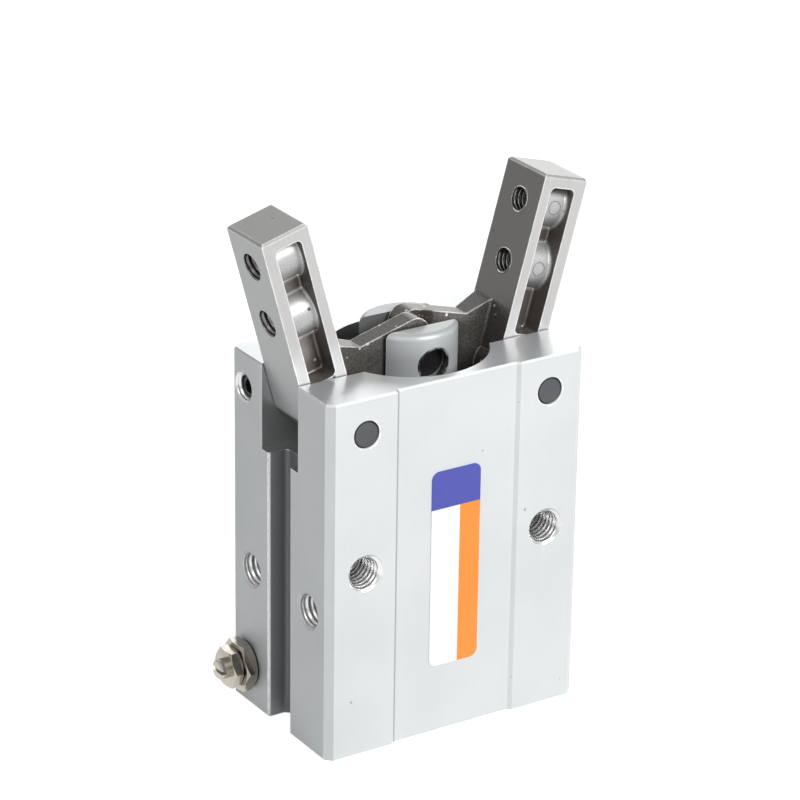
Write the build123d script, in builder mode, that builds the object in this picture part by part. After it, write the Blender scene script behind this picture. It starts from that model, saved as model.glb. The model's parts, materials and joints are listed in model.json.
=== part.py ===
from build123d import *
import math
import os

# Pneumatic angular gripper, millimetres.
# X runs along the wide faces, -Y is the labelled front, +Z is up.
# The origin is the centre of the base face, on the axis of the bore.
# Everything is drawn with the fingers open, which is the rest pose.

# Body
body_width = 42.0
body_depth = 26.4
corner_chamfer = 1.05
edge_break = 0.25
panel_width = 19.2
panel_depth = 0.45
panel_slope = 0.6
groove_width = 5.6
groove_depth = 3.2
groove_round = 0.8
groove_lip = 0.35
slot_width = 9.8
slot_depth = 12.7
slot_edge = 0.2
throat_diameter = 22.8
throat_depth = 17.1
bore_diameter = 20.0
gland_length = 7.5
cap_seat_diameter = 22.0
pilot_depth = 1.8

# Threads and screws of the body
port_thread = 5.0
port_depth = 5.0
port_height = 21.4
port_inset = 5.45
mount_thread = 5.0
mount_depth = 6.0
mount_core = 4.2
mount_spacing = 30.0
mount_height = 28.0
base_thread = 4.0
base_thread_depth = 6.0
base_thread_spacing = 28.0
thread_chamfer = 0.3
passage_diameter = 1.6
closing_passage_shift = 1.45
closing_passage_inset = 1.0
closing_passage_reach = 7.0
closing_passage_side = 4.6

# Linkage
pivot_spacing = 30.1
pivot_below_top = 5.25
pivot_pin_diameter = 4.1
cross_pin_diameter = 4.6
cross_pin_length = 10.8
open_angle = 15.5
closed_angle = -5.0
crank_angle = 2.25

# Levers
finger_width = 9.3
finger_length = 28.6
hub_radius = 3.95
inner_face = 3.45
arm_thickness = 2.9
arm_top = 6.4
arm_bottom = 5.2
arm_kink = 7.3
arm_root_top = 8.95
arm_root_side = 4.2
arm_round = 0.4
tip_reach = 2.5
tip_round = 2.4
lap_gap = 0.2
finger_edge = 0.35
pocket_top_wall = 1.8
pocket_outer_wall = 1.75
pocket_inner_wall = 1.55
pocket_bottom = 5.4
pocket_corner = 0.8
pocket_round = 0.4
web_thickness = 2.7
boss_radius = 3.6
boss_flare = 0.5
tool_thread = 4.0
tool_hole_spacing = 9.0
tool_hole_end = 4.85

# Piston and rod
rod_diameter = 13.8
clevis_slot = 7.0
clevis_above_pin = 4.6
clevis_below_pin = 8.6
clevis_round = 0.9
flange_length = 4.0
magnet_length = 3.0
magnet_diameter = 18.6
head_length = 6.0
spigot_diameter = 11.0
spigot_engagement = 1.6
piston_seal_width = 2.6
piston_seal_depth = 2.2
rod_seal_width = 3.0
rod_seal_depth = 2.4
piston_top_clearance = 0.9
piston_bottom_clearance = 2.64
bolt_thread = 4.0
bolt_length = 10.0
bolt_head_diameter = 7.0
bolt_head_length = 2.8
bolt_socket = 2.5
bolt_socket_depth = 1.7

# Bottom cap
cap_length = 4.6
cap_seal_section = 1.5
ring_thickness = 1.0
ring_groove_depth = 0.7
ring_radial_width = 1.7
ring_gap_angle = 50.0
ring_lug_radius = 1.35
ring_lug_hole = 0.7

# Set screws on the pivot pins
set_screw_thread = 4.0
set_screw_inset = 3.6
set_screw_length = 3.0
set_screw_socket = 2.0
set_screw_socket_depth = 1.6

# Throttle needle
needle_inset = 4.35
needle_height = 6.35
needle_thread = 5.0
needle_depth = 7.5
gasket_thickness = 0.35
needle_hex = 7.0
needle_hex_length = 1.75
nut_hex = 5.5
nut_length = 1.55
nut_gap = 0.1
stem_thread = 3.0
stem_proud = 1.3
stem_slot_width = 0.6
stem_slot_depth = 0.8
seat_diameter = 2.2
stem_tip_length = 2.4

# Label
label_width = 8.05
label_height = 30.0
label_bottom = 10.4
label_corner = 1.2
label_thickness = 0.1

# Fits
running_fit = 0.03
loose_fit = 0.15
thread_fit = 0.02
seal_fit = 0.03

pivot_x = pivot_spacing / 2


def cross_pin_rise(angle):
    """Height of the rod's cross pin above the pivots when the fingers lean out by this angle."""
    return pivot_x * math.tan(math.radians(angle + crank_angle))


def pin_distance(angle):
    """Distance from a pivot to the cross pin when the fingers lean out by this angle."""
    return pivot_x / math.cos(math.radians(angle + crank_angle))


# Places across the body, and the swing of the linkage
half_width = body_width / 2
half_depth = body_depth / 2
panel_face = half_depth - panel_depth
port_offset = half_depth - port_inset
set_screw_offset = half_depth - set_screw_inset
needle_offset = half_depth - needle_inset
stroke = cross_pin_rise(open_angle) - cross_pin_rise(closed_angle)
far_pin_distance = pin_distance(open_angle)
near_pin_distance = pivot_x

# Heights, stacked from the base: cap, piston with its stroke, gland, throat, linkage
ring_bottom = pilot_depth
cap_bottom = ring_bottom + ring_thickness
cap_top = cap_bottom + cap_length
head_bottom = cap_top + piston_bottom_clearance + stroke
magnet_bottom = head_bottom + head_length
flange_bottom = magnet_bottom + magnet_length
flange_top = flange_bottom + flange_length
bore_top = flange_top + piston_top_clearance
throat_floor = bore_top + gland_length
body_height = throat_floor + throat_depth
slot_floor = body_height - slot_depth
pivot_height = body_height - pivot_below_top
open_pin_height = pivot_height + cross_pin_rise(open_angle)
rod_top = open_pin_height + clevis_above_pin

os.makedirs("parts", exist_ok=True)


def finish(part, name):
    """Names a finished piece and writes it."""
    part.label = name
    export_step(part, "parts/" + name + ".step")


def facing(x, y, z, direction, turn=(0, 0, 1)):
    """Plane at a point whose normal is the given direction."""
    normal = Vector(*direction)
    return Plane(origin=(x, y, z), x_dir=Vector(*turn).cross(normal), z_dir=normal)


def along(start, end):
    """Plane at the start point that looks towards the end point."""
    path = Vector(*end) - Vector(*start)
    return Plane(origin=start, z_dir=path), path.length


def cut_threaded_hole(plane, thread, depth):
    """Blind tapped hole that goes in against the plane's normal, with a chamfered mouth."""
    radius = thread / 2
    with BuildSketch(plane) as wall:
        Circle(radius)
    extrude(wall.sketch, amount=-depth, mode=Mode.SUBTRACT)
    with BuildSketch(plane) as mouth:
        Circle(radius + thread_chamfer)
    extrude(mouth.sketch, amount=-thread_chamfer, taper=45, mode=Mode.SUBTRACT)


def cut_passage(start, end):
    """Drilled air passage from one point to another."""
    plane, length = along(start, end)
    with BuildSketch(plane) as drill:
        Circle(passage_diameter / 2)
    extrude(drill.sketch, amount=length, mode=Mode.SUBTRACT)


def profile_quarter():
    """Outline of the body's section from the middle of the front face to the middle of the right."""
    flat = panel_width / 2
    with BuildLine() as outline:
        Polyline(
            (0, -panel_face),
            (flat, -panel_face),
            (flat + panel_slope, -half_depth),
            (half_width - corner_chamfer, -half_depth),
            (half_width, -half_depth + corner_chamfer),
            (half_width, -groove_width / 2 - groove_lip),
            (half_width - groove_lip, -groove_width / 2),
            (half_width - groove_depth, -groove_width / 2),
            (half_width - groove_depth, 0),
        )
    return outline.line


# Body: drawn as a profile with the sensor grooves and the sunk panels, then machined
with BuildPart() as body:
    with BuildSketch():
        with BuildLine():
            quarter = profile_quarter()
            add(quarter)
            mirror(quarter, about=Plane.XZ)
            mirror(quarter, about=Plane.YZ)
            mirror(mirror(quarter, about=Plane.XZ, mode=Mode.PRIVATE), about=Plane.YZ)
        make_face()
    extrude(amount=body_height)
    groove_corners = body.edges().filter_by(Axis.Z).filter_by(
        lambda edge: abs(abs(edge.center().X) - (half_width - groove_depth)) < 0.01
    )
    fillet(groove_corners, groove_round)
    chamfer(body.faces().sort_by(Axis.Z)[-1].edges(), edge_break)
    chamfer(body.faces().sort_by(Axis.Z)[0].edges(), edge_break)

    # Finger slot, throat round the rod end, gland and bore
    with BuildSketch(Plane.XY.offset(slot_floor)):
        Rectangle(body_width + 2, slot_width)
    extrude(amount=slot_depth + 1, mode=Mode.SUBTRACT)
    slot_corners = body.edges().filter_by(Axis.Z).filter_by(
        lambda edge: abs(abs(edge.center().X) - half_width) < 0.01
        and abs(abs(edge.center().Y) - slot_width / 2) < 0.01
    )
    chamfer(slot_corners, slot_edge)
    with BuildSketch(Plane.XY.offset(throat_floor)):
        Circle(throat_diameter / 2)
    extrude(amount=throat_depth + 1, mode=Mode.SUBTRACT)
    with BuildSketch():
        Circle(rod_diameter / 2 + running_fit)
    extrude(amount=throat_floor + 1, mode=Mode.SUBTRACT)
    with BuildSketch(Plane.XY.offset(bore_top + (gland_length - rod_seal_width) / 2)):
        Circle(rod_diameter / 2 + rod_seal_depth)
    extrude(amount=rod_seal_width, mode=Mode.SUBTRACT)
    with BuildSketch():
        Circle(bore_diameter / 2)
    extrude(amount=bore_top, mode=Mode.SUBTRACT)

    # Seat of the bottom cap and groove of its retaining ring
    with BuildSketch():
        Circle(cap_seat_diameter / 2)
    extrude(amount=cap_top, mode=Mode.SUBTRACT)
    with BuildSketch(Plane.XY.offset(ring_bottom)):
        Circle(cap_seat_diameter / 2 + ring_groove_depth)
    extrude(amount=ring_thickness, mode=Mode.SUBTRACT)

    # Cross holes of the pivot pins
    with BuildSketch(Plane.XZ.offset(half_depth)):
        with Locations((-pivot_x, pivot_height), (pivot_x, pivot_height)):
            Circle(pivot_pin_diameter / 2)
    extrude(amount=-body_depth, mode=Mode.SUBTRACT)

    # Mounting threads on both wide faces, air ports on the left face, threads in the base
    for side in (-1, 1):
        for x in (-mount_spacing / 2, mount_spacing / 2):
            cut_threaded_hole(
                facing(x, side * half_depth, mount_height, (0, side, 0)), mount_thread, mount_depth
            )
        cut_threaded_hole(
            facing(-half_width, side * port_offset, port_height, (-1, 0, 0)), port_thread, port_depth
        )
        cut_threaded_hole(
            facing(side * base_thread_spacing / 2, 0, 0, (0, 0, -1), (0, 1, 0)),
            base_thread,
            base_thread_depth,
        )

    # The threads of the wide faces meet through a core hole
    with BuildSketch(Plane.XZ.offset(half_depth)):
        with Locations((-mount_spacing / 2, mount_height), (mount_spacing / 2, mount_height)):
            Circle(mount_core / 2)
    extrude(amount=-body_depth, mode=Mode.SUBTRACT)

    # Set screw holes that reach the pivot pins
    screw_hole_depth = half_width - pivot_x - pivot_pin_diameter / 4
    for side in (-1, 1):
        cut_threaded_hole(
            facing(side * half_width, set_screw_offset, pivot_height, (side, 0, 0)),
            set_screw_thread,
            screw_hole_depth,
        )

    # Needle hole, its seat and the passages to the two chambers
    needle_face = facing(-half_width, needle_offset, needle_height, (-1, 0, 0))
    cut_threaded_hole(needle_face, needle_thread, needle_depth)
    with BuildSketch(needle_face):
        Circle(seat_diameter / 2)
    extrude(amount=-needle_depth - stem_tip_length, mode=Mode.SUBTRACT)
    needle_hole_end = -half_width + needle_depth
    cut_passage(
        (needle_hole_end + stem_tip_length - seat_diameter / 2, needle_offset, needle_height),
        (-bore_diameter / 3, bore_diameter / 3, cap_top + passage_diameter),
    )
    cut_passage(
        (-half_width + port_depth - passage_diameter / 2, needle_offset, needle_height),
        (-half_width + port_depth - passage_diameter / 2, needle_offset, port_height),
    )
    cut_passage(
        (
            -half_width + port_depth - closing_passage_inset,
            -port_offset + closing_passage_shift,
            port_height + closing_passage_inset,
        ),
        (-closing_passage_reach, -closing_passage_side, bore_top - passage_diameter / 3),
    )
finish(body.part, "body")


def lever_plane(side):
    """Plane of one lever at its pivot: x points at the rod, y along the finger, z to its lapped arm."""
    lean = math.radians(open_angle)
    return Plane(
        origin=(side * pivot_x, 0, pivot_height),
        x_dir=(-side * math.cos(lean), 0, math.sin(lean)),
        z_dir=(0, side, 0),
    )


def make_lever(plane, name):
    """Bell crank lever: pocketed finger, round hub and a forked arm lapped with the other one."""
    crank = math.radians(crank_angle)
    pin_x = far_pin_distance * math.cos(crank)
    arm_end = pin_x + tip_reach
    plan = Plane(origin=plane.origin, x_dir=plane.x_dir, z_dir=-plane.y_dir)
    upper_hole = finger_length - tool_hole_end
    lower_hole = upper_hole - tool_hole_spacing
    with BuildPart() as lever:
        # Side view of the arm, from the hub to the rounded end
        corner = tip_round * (1 - math.cos(math.radians(45)))
        with BuildSketch(plane):
            with BuildLine():
                Polyline((0, -hub_radius), (arm_kink, -arm_bottom), (arm_end - tip_round, -arm_bottom))
                ThreePointArc(
                    (arm_end - tip_round, -arm_bottom),
                    (arm_end - corner, -arm_bottom + corner),
                    (arm_end, -arm_bottom + tip_round),
                )
                Line((arm_end, -arm_bottom + tip_round), (arm_end, arm_top - tip_round))
                ThreePointArc(
                    (arm_end, arm_top - tip_round),
                    (arm_end - corner, arm_top - corner),
                    (arm_end - tip_round, arm_top),
                )
                Polyline(
                    (arm_end - tip_round, arm_top),
                    (arm_kink, arm_top),
                    (inner_face, arm_root_top),
                    (0, arm_root_top),
                    (0, -hub_radius),
                )
            make_face()
        extrude(amount=finger_width / 2, both=True)

        # Top view of the arm: one side at the middle plane, the other slants out towards the finger
        near_side = lap_gap / 2
        far_side = near_side + arm_thickness
        with BuildSketch(plan):
            with BuildLine():
                Polyline(
                    (0, near_side),
                    (arm_end + 1, near_side),
                    (arm_end + 1, far_side),
                    (arm_kink, far_side),
                    (inner_face, arm_root_side),
                    (0, arm_root_side),
                    (0, near_side),
                )
            make_face()
        extrude(amount=finger_length, both=True, mode=Mode.INTERSECT)

        # Finger and hub
        with BuildSketch(plane):
            with BuildLine():
                Polyline(
                    (inner_face, 0),
                    (inner_face, finger_length),
                    (-hub_radius, finger_length),
                    (-hub_radius, 0),
                    (inner_face, 0),
                )
            make_face()
            Circle(hub_radius)
        extrude(amount=finger_width / 2, both=True)
        root_edges = [
            edge
            for edge in lever.edges()
            if abs(plane.to_local_coords(edge.center()).X - inner_face) < 0.01
            and 0 < plane.to_local_coords(edge.center()).Y < arm_root_top + 0.01
            and 0 < plane.to_local_coords(edge.center()).Z < arm_root_side + 0.01
        ]
        fillet(root_edges, arm_round)
        finger_end = lever.faces().sort_by(lambda face: plane.to_local_coords(face.center()).Y)[-1]
        chamfer(finger_end.edges(), finger_edge)

        # Pockets on both sides of the finger, with a web between them and a round foot
        pocket_left = -hub_radius + pocket_outer_wall
        pocket_right = inner_face - pocket_inner_wall
        pocket_top = finger_length - pocket_top_wall
        for side in (-1, 1):
            with BuildSketch(plane.offset(side * finger_width / 2)):
                with Locations(((pocket_left + pocket_right) / 2, (pocket_top + pocket_bottom) / 2)):
                    RectangleRounded(pocket_right - pocket_left, pocket_top - pocket_bottom, pocket_corner)
            extrude(amount=-side * (finger_width - web_thickness) / 2, mode=Mode.SUBTRACT)
        web_faces = lever.faces().filter_by(
            lambda face: abs(abs(plane.to_local_coords(face.center()).Z) - web_thickness / 2) < 0.01
        )
        fillet(web_faces.edges(), pocket_round)

        # Round bosses across the pockets for the tool threads, flared where they meet the walls
        flare = boss_flare * (1 - math.cos(math.radians(45)))
        boss_left = pocket_left - boss_flare
        boss_right = pocket_right + boss_flare
        for height in (lower_hole, upper_hole):
            crown = height + boss_radius
            with BuildSketch(plane):
                with BuildLine():
                    Polyline(
                        (pocket_left, crown + boss_flare),
                        (boss_left, crown + boss_flare),
                        (boss_left, height),
                        (boss_right, height),
                        (boss_right, crown + boss_flare),
                        (pocket_right, crown + boss_flare),
                    )
                    ThreePointArc(
                        (pocket_right, crown + boss_flare),
                        (pocket_right - flare, crown + flare),
                        (pocket_right - boss_flare, crown),
                    )
                    Line((pocket_right - boss_flare, crown), (pocket_left + boss_flare, crown))
                    ThreePointArc(
                        (pocket_left + boss_flare, crown),
                        (pocket_left + flare, crown + flare),
                        (pocket_left, crown + boss_flare),
                    )
                make_face()
            revolve(axis=Axis(plane.from_local_coords((0, height, 0)), plane.x_dir))

        # Tool threads through finger and bosses
        outer = Plane(
            origin=plane.from_local_coords((-hub_radius, 0, 0)), x_dir=plane.y_dir, z_dir=-plane.x_dir
        )
        thickness = hub_radius + inner_face
        with BuildSketch(outer):
            with Locations((lower_hole, 0), (upper_hole, 0)):
                Circle(tool_thread / 2)
        extrude(amount=-thickness, mode=Mode.SUBTRACT)

        # Pivot hole, and the open slot that lets the cross pin travel along the arm
        with BuildSketch(plane):
            Circle(pivot_pin_diameter / 2 + running_fit)
        extrude(amount=finger_width, both=True, mode=Mode.SUBTRACT)
        slot_start = near_pin_distance - loose_fit / 2
        slot_end = arm_end + cross_pin_diameter
        middle = (slot_start + slot_end) / 2
        with BuildSketch(plane):
            with Locations((middle * math.cos(crank), middle * math.sin(crank))):
                SlotCenterToCenter(
                    slot_end - slot_start, cross_pin_diameter + 2 * loose_fit, rotation=crank_angle
                )
        extrude(amount=finger_width, both=True, mode=Mode.SUBTRACT)
    finish(lever.part, name)
    return lever


left_finger = make_lever(lever_plane(-1), "left_finger")
right_finger = make_lever(lever_plane(1), "right_finger")


def make_pivot_pin(side, name):
    """Plain pin across the body, through the hub of one lever."""
    with BuildPart() as pin:
        with BuildSketch(Plane.XZ.offset(half_depth - thread_fit)):
            with Locations((side * pivot_x, pivot_height)):
                Circle(pivot_pin_diameter / 2)
        extrude(amount=-body_depth + 2 * thread_fit)
        chamfer(pin.edges().filter_by(GeomType.CIRCLE), edge_break)
    finish(pin.part, name)
    return pin


left_pivot_pin = make_pivot_pin(-1, "left_pivot_pin")
right_pivot_pin = make_pivot_pin(1, "right_pivot_pin")


def make_set_screw(side, name):
    """Headless socket screw that holds one pivot pin."""
    point = pivot_x + pivot_pin_diameter / 2
    socket_end = point + set_screw_length
    with BuildPart() as screw:
        with BuildSketch(facing(side * socket_end, set_screw_offset, pivot_height, (side, 0, 0))):
            Circle(set_screw_thread / 2 - thread_fit)
        extrude(amount=-set_screw_length)
        chamfer(screw.edges().filter_by(GeomType.CIRCLE), edge_break)
        with BuildSketch(facing(side * socket_end, set_screw_offset, pivot_height, (side, 0, 0))):
            RegularPolygon(set_screw_socket / 2, 6, major_radius=False)
        extrude(amount=-set_screw_socket_depth, mode=Mode.SUBTRACT)
    finish(screw.part, name)
    return screw


left_set_screw = make_set_screw(-1, "left_set_screw")
right_set_screw = make_set_screw(1, "right_set_screw")

# Piston rod: clevis at the top, rod through the gland, flange and spigot in the bore
with BuildPart() as piston_rod:
    with BuildSketch(Plane.XY.offset(flange_bottom)):
        Circle(rod_diameter / 2)
    extrude(amount=rod_top - flange_bottom)
    fillet(piston_rod.faces().sort_by(Axis.Z)[-1].edges(), clevis_round)
    with BuildSketch(Plane.XY.offset(flange_bottom)):
        Circle(bore_diameter / 2 - seal_fit)
    extrude(amount=flange_length)
    with BuildSketch(Plane.XY.offset(flange_bottom)):
        Circle(spigot_diameter / 2)
    extrude(amount=-magnet_length - spigot_engagement)
    with BuildSketch(Plane.XY.offset(open_pin_height - clevis_below_pin)):
        Rectangle(2 * rod_diameter, clevis_slot)
    extrude(amount=clevis_above_pin + clevis_below_pin + 1, mode=Mode.SUBTRACT)
    with BuildSketch(Plane.XZ):
        with Locations((0, open_pin_height)):
            Circle(cross_pin_diameter / 2)
    extrude(amount=rod_diameter, both=True, mode=Mode.SUBTRACT)
    bolt_seat = head_bottom + bolt_head_length
    with BuildSketch(Plane.XY.offset(bolt_seat)):
        Circle(bolt_thread / 2 + thread_fit)
    extrude(amount=bolt_length + thread_fit, mode=Mode.SUBTRACT)
finish(piston_rod.part, "piston_rod")

# Cross pin through the clevis and the two lapped arms
with BuildPart() as cross_pin:
    with BuildSketch(Plane.XZ.offset(cross_pin_length / 2)):
        with Locations((0, open_pin_height)):
            Circle(cross_pin_diameter / 2 - thread_fit)
    extrude(amount=-cross_pin_length)
    chamfer(cross_pin.edges().filter_by(GeomType.CIRCLE), edge_break)
finish(cross_pin.part, "cross_pin")

# Ring magnet that the sensors in the side grooves feel
with BuildPart() as piston_magnet:
    with BuildSketch(Plane.XY.offset(magnet_bottom)):
        Circle(magnet_diameter / 2)
        Circle(spigot_diameter / 2 + thread_fit, mode=Mode.SUBTRACT)
    extrude(amount=magnet_length)
finish(piston_magnet.part, "piston_magnet")

# Piston head: closes the magnet in, carries the seal, bolted from below
seal_groove_bottom = head_bottom + (head_length - piston_seal_width) / 2
with BuildPart() as piston_head:
    with BuildSketch(Plane.XY.offset(head_bottom)):
        Circle(bore_diameter / 2 - seal_fit)
    extrude(amount=head_length)
    chamfer(piston_head.edges().filter_by(GeomType.CIRCLE).sort_by(Axis.Z)[0], 2 * edge_break)
    with BuildSketch(Plane.XY.offset(seal_groove_bottom)):
        Circle(bore_diameter / 2)
        Circle(bore_diameter / 2 - piston_seal_depth, mode=Mode.SUBTRACT)
    extrude(amount=piston_seal_width, mode=Mode.SUBTRACT)
    with BuildSketch(Plane.XY.offset(magnet_bottom - spigot_engagement)):
        Circle(spigot_diameter / 2 + thread_fit)
    extrude(amount=spigot_engagement, mode=Mode.SUBTRACT)
    with BuildSketch(Plane.XY.offset(head_bottom)):
        Circle(bolt_thread / 2 + loose_fit)
    extrude(amount=head_length, mode=Mode.SUBTRACT)
    with BuildSketch(Plane.XY.offset(head_bottom)):
        Circle(bolt_head_diameter / 2 + loose_fit)
    extrude(amount=bolt_head_length, mode=Mode.SUBTRACT)
finish(piston_head.part, "piston_head")


def make_lip_seal(name, inner, outer, bottom, width):
    """Rubber ring with a shallow groove between its two lips on the underside."""
    lip = (outer - inner) / 3
    with BuildPart() as seal:
        with BuildSketch(Plane.XY.offset(bottom)):
            Circle(outer)
            Circle(inner, mode=Mode.SUBTRACT)
        extrude(amount=width)
        with BuildSketch(Plane.XY.offset(bottom)):
            Circle(outer - lip)
            Circle(inner + lip, mode=Mode.SUBTRACT)
        extrude(amount=width / 3, mode=Mode.SUBTRACT)
    finish(seal.part, name)
    return seal


piston_seal = make_lip_seal(
    "piston_seal",
    bore_diameter / 2 - piston_seal_depth,
    bore_diameter / 2 - seal_fit,
    seal_groove_bottom,
    piston_seal_width,
)
rod_seal = make_lip_seal(
    "rod_seal",
    rod_diameter / 2 + seal_fit,
    rod_diameter / 2 + rod_seal_depth,
    bore_top + (gland_length - rod_seal_width) / 2,
    rod_seal_width,
)

# Low head bolt that clamps the piston head to the rod
with BuildPart() as piston_bolt:
    with BuildSketch(Plane.XY.offset(head_bottom)):
        Circle(bolt_head_diameter / 2)
    extrude(amount=bolt_head_length)
    with BuildSketch(Plane.XY.offset(bolt_seat)):
        Circle(bolt_thread / 2)
    extrude(amount=bolt_length)
    with BuildSketch(Plane.XY.offset(head_bottom)):
        RegularPolygon(bolt_socket / 2, 6, major_radius=False)
    extrude(amount=bolt_socket_depth, mode=Mode.SUBTRACT)
finish(piston_bolt.part, "piston_bolt")

# Bottom cap with a groove for its seal ring and a pull-out thread
cap_radius = cap_seat_diameter / 2 - running_fit
seal_center_radius = cap_seat_diameter / 2 - cap_seal_section / 2
seal_center_height = cap_bottom + cap_length / 2
with BuildPart() as end_cap:
    with BuildSketch(Plane.XY.offset(cap_bottom)):
        Circle(cap_radius)
    extrude(amount=cap_length)
    with BuildSketch(Plane.XY.offset(seal_center_height - cap_seal_section / 2)):
        Circle(cap_seat_diameter / 2)
        Circle(seal_center_radius - cap_seal_section / 2, mode=Mode.SUBTRACT)
    extrude(amount=cap_seal_section, mode=Mode.SUBTRACT)
    cut_threaded_hole(facing(0, 0, cap_bottom, (0, 0, -1), (0, 1, 0)), base_thread, cap_length / 2)
finish(end_cap.part, "end_cap")

with BuildPart() as cap_seal:
    with BuildSketch(Plane.XZ):
        with Locations((seal_center_radius, seal_center_height)):
            Circle(cap_seal_section / 2)
    revolve(axis=Axis.Z)
finish(cap_seal.part, "cap_seal")

# Internal retaining ring with two plier lugs
ring_outer = cap_seat_diameter / 2 + ring_groove_depth
with BuildPart() as retaining_ring:
    with BuildSketch(Plane.XY.offset(ring_bottom)):
        Circle(ring_outer)
        Circle(ring_outer - ring_radial_width, mode=Mode.SUBTRACT)
        with PolarLocations(0, 1, start_angle=-90):
            gap = ring_outer * math.tan(math.radians(ring_gap_angle / 2))
            Polygon((0, 0), (2 * ring_outer, -2 * gap), (2 * ring_outer, 2 * gap), align=None, mode=Mode.SUBTRACT)
        lug_angle = ring_gap_angle / 2 + math.degrees(ring_lug_radius / ring_outer)
        lug_distance = ring_outer - ring_groove_depth - ring_lug_radius - loose_fit
        with PolarLocations(lug_distance, 2, start_angle=-90 - lug_angle, angular_range=2 * lug_angle, endpoint=True):
            Circle(ring_lug_radius)
            Circle(ring_lug_hole, mode=Mode.SUBTRACT)
    extrude(amount=ring_thickness)
finish(retaining_ring.part, "retaining_ring")


def needle_plane(x):
    """Plane across the needle's axis at this x, looking out of the left face."""
    return facing(x, needle_offset, needle_height, (-1, 0, 0))


def add_hexagon(x, across_flats, length):
    """Hexagon with its corners turned down at both ends, standing out from x."""
    with BuildSketch(needle_plane(x)) as hexagon:
        RegularPolygon(across_flats / 2, 6, major_radius=False)
    extrude(hexagon.sketch, amount=length)
    corner = across_flats / 2 / math.cos(math.radians(30))
    rise = (corner - across_flats / 2) * math.tan(math.radians(30))
    with BuildSketch(Plane.XZ.offset(-needle_offset)) as turning:
        with BuildLine():
            Polyline(
                (x, needle_height),
                (x, needle_height + across_flats / 2),
                (x - rise, needle_height + corner),
                (x - length + rise, needle_height + corner),
                (x - length, needle_height + across_flats / 2),
                (x - length, needle_height),
                (x, needle_height),
            )
        make_face()
    axis = Axis((x, needle_offset, needle_height), (-1, 0, 0))
    revolve(turning.sketch, axis=axis, mode=Mode.INTERSECT)


# Needle housing: hexagon outside, threaded shank inside, bored for the stem
hex_start = -half_width - gasket_thickness
hex_end = hex_start - needle_hex_length
shank_end = -half_width + needle_depth - thread_fit
with BuildPart() as needle_housing:
    add_hexagon(hex_start, needle_hex, needle_hex_length)
    with BuildSketch(needle_plane(hex_start)):
        Circle(needle_thread / 2 - thread_fit)
    extrude(amount=hex_start - shank_end)
    with BuildSketch(needle_plane(hex_end)):
        Circle(stem_thread / 2 + thread_fit)
    extrude(amount=hex_end - shank_end, mode=Mode.SUBTRACT)
finish(needle_housing.part, "needle_housing")

with BuildPart() as needle_gasket:
    with BuildSketch(needle_plane(-half_width)):
        Circle(needle_thread / 2 + 3 * thread_chamfer)
        Circle(needle_thread / 2, mode=Mode.SUBTRACT)
    extrude(amount=gasket_thickness)
finish(needle_gasket.part, "needle_gasket")

nut_start = hex_end - nut_gap
nut_end = nut_start - nut_length
with BuildPart() as needle_lock_nut:
    add_hexagon(nut_start, nut_hex, nut_length)
    with BuildSketch(needle_plane(nut_start)):
        Circle(stem_thread / 2 + thread_fit)
    extrude(amount=nut_length, mode=Mode.SUBTRACT)
finish(needle_lock_nut.part, "needle_lock_nut")

# Throttle needle: threaded stem with a driver slot outside and a cone in the seat
stem_end = nut_end - stem_proud
with BuildPart() as throttle_needle:
    with BuildSketch(Plane.XZ.offset(-needle_offset)):
        with BuildLine():
            Polyline(
                (stem_end, needle_height),
                (stem_end, needle_height + stem_thread / 2 - edge_break),
                (stem_end + edge_break, needle_height + stem_thread / 2),
                (shank_end, needle_height + stem_thread / 2),
                (shank_end, needle_height + seat_diameter / 2 - loose_fit),
                (shank_end + stem_tip_length, needle_height + passage_diameter / 4),
                (shank_end + stem_tip_length, needle_height),
                (stem_end, needle_height),
            )
        make_face()
    revolve(axis=Axis((stem_end, needle_offset, needle_height), (1, 0, 0)))
    with BuildSketch(needle_plane(stem_end)):
        Rectangle(2 * stem_thread, stem_slot_width)
    extrude(amount=-stem_slot_depth, mode=Mode.SUBTRACT)
finish(throttle_needle.part, "throttle_needle")

# Label on the sunk panel of the front
with BuildPart() as label:
    with BuildSketch(Plane.XZ.offset(panel_face)):
        with Locations((0, label_bottom + label_height / 2)):
            RectangleRounded(label_width, label_height, label_corner)
    extrude(amount=label_thickness)
finish(label.part, "label")

print("stroke", round(stroke, 3), "height", round(body_height, 3), "cross pin at", round(open_pin_height, 3))
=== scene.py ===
import bmesh
import bpy
import json
import math
from mathutils import Matrix, Vector


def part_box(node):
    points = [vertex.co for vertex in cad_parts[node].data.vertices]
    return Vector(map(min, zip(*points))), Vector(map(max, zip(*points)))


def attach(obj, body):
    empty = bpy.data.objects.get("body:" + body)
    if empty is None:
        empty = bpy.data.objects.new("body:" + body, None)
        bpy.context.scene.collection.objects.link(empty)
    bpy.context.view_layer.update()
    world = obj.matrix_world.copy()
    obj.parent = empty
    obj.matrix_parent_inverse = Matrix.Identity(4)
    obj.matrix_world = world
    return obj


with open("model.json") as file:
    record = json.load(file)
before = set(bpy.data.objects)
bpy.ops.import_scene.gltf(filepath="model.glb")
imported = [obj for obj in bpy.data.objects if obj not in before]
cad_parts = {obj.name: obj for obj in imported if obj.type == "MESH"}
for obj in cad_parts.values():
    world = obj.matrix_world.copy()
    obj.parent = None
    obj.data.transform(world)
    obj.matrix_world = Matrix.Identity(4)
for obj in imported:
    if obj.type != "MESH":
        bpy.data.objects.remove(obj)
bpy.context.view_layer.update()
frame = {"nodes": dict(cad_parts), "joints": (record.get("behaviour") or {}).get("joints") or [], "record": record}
nodes = frame["nodes"]
mm = 0.001
print("frame loaded,", len(nodes), "nodes")

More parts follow.
